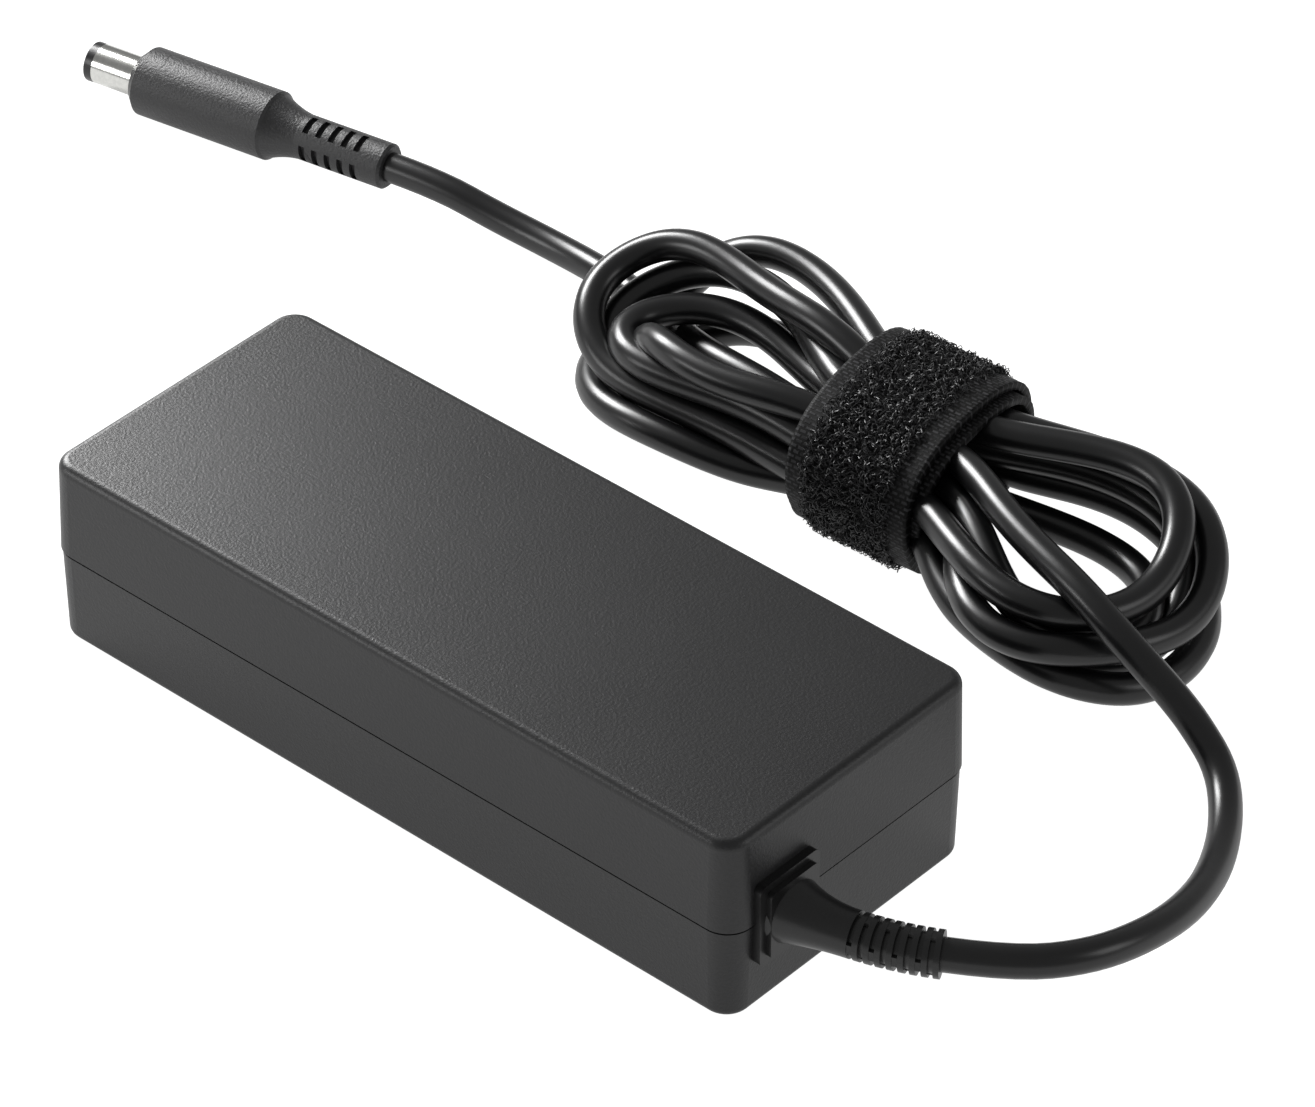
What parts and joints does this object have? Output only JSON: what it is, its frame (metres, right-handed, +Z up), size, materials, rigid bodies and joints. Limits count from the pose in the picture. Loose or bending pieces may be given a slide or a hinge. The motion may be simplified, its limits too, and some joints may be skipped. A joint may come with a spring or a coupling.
{
  "type": "laptop power adapter",
  "caption": "Sealed two-shell laptop power brick with a mains inlet, and an output cord tied in a hank that ends in a round barrel plug.",
  "frame": {"origin": "middle of the brick's underside, the cord and its pieces left out", "axes": "+X along the brick towards the end the output cord leaves, +Y across the brick towards the hank, +Z up"},
  "size_m": [0.261, 0.1299, 0.0305],
  "materials": {
    "case_plastic": "fine-grain moulded, matte",
    "label_film": "smooth printed film, left blank",
    "inlet_plastic": "smooth moulded",
    "contact_metal": "bright nickel plate",
    "boot_plastic": "soft moulded, satin",
    "cord_jacket": "extruded soft jacket, semi-gloss",
    "tie_webbing": "hook-and-loop pile with woven selvedges",
    "plug_plastic": "textured overmould, matte",
    "barrel_metal": "polished nickel plate",
    "plug_insulator": "moulded insulator",
    "board_laminate": "glass-epoxy laminate",
    "shield_metal": "rolled sheet",
    "insulating_film": "insulating film",
    "ferrite": "sintered ferrite",
    "bobbin_plastic": "moulded bobbin",
    "winding_tape": "polyester tape over the winding",
    "copper_wire": "enamelled copper",
    "film_capacitor": "moulded box",
    "capacitor_sleeve": "shrink sleeve",
    "disc_coating": "dipped coating",
    "package_epoxy": "moulded epoxy",
    "heatsink_metal": "bare sheet",
    "screw_steel": "zinc-plated",
    "tinned_wire": "tinned copper wire",
    "wire_insulation": "insulated conductor"
  },
  "bodies": {
    "root": {"upper_case": "case_plastic", "lower_case": "case_plastic", "rating_label": "label_film", "ac_inlet_body": "inlet_plastic", "inlet_pin_line": "contact_metal", "inlet_pin_neutral": "contact_metal", "inlet_pin_earth": "contact_metal", "ac_leads": "tinned_wire", "circuit_board": "board_laminate", "heat_spreader_lower": "shield_metal", "heat_spreader_upper": "shield_metal", "insulating_sheet": "insulating_film", "x_capacitor": "film_capacitor", "common_mode_core": "ferrite", "common_mode_windings": "copper_wire", "bulk_capacitor": "capacitor_sleeve", "transformer_core": "ferrite", "transformer_bobbin": "bobbin_plastic", "transformer_windings": "winding_tape", "pfc_inductor_core": "ferrite", "pfc_inductor_bobbin": "bobbin_plastic", "pfc_inductor_windings": "winding_tape", "primary_heatsink": "heatsink_metal", "switching_transistor": "package_epoxy", "secondary_heatsink": "heatsink_metal", "output_rectifier": "package_epoxy", "heatsink_screws": "screw_steel", "output_capacitors": "capacitor_sleeve", "output_choke": "ferrite", "y_capacitors": "disc_coating", "fuse": "package_epoxy", "varistor": "disc_coating", "thermistor": "package_epoxy", "bridge_rectifier": "package_epoxy", "optocoupler": "package_epoxy", "controller_chip": "package_epoxy", "dc_leads": "wire_insulation", "cable_boot": "boot_plastic", "cord_hank": "cord_jacket", "cable_tie": "tie_webbing", "cord_brick_lead": "cord_jacket", "cord_plug_lead": "cord_jacket", "plug_grip": "plug_plastic", "plug_barrel": "barrel_metal", "plug_tip_ring": "plug_insulator", "plug_lining": "plug_insulator", "plug_base": "plug_insulator", "plug_centre_pin": "contact_metal"}
  },
  "joints": []
}
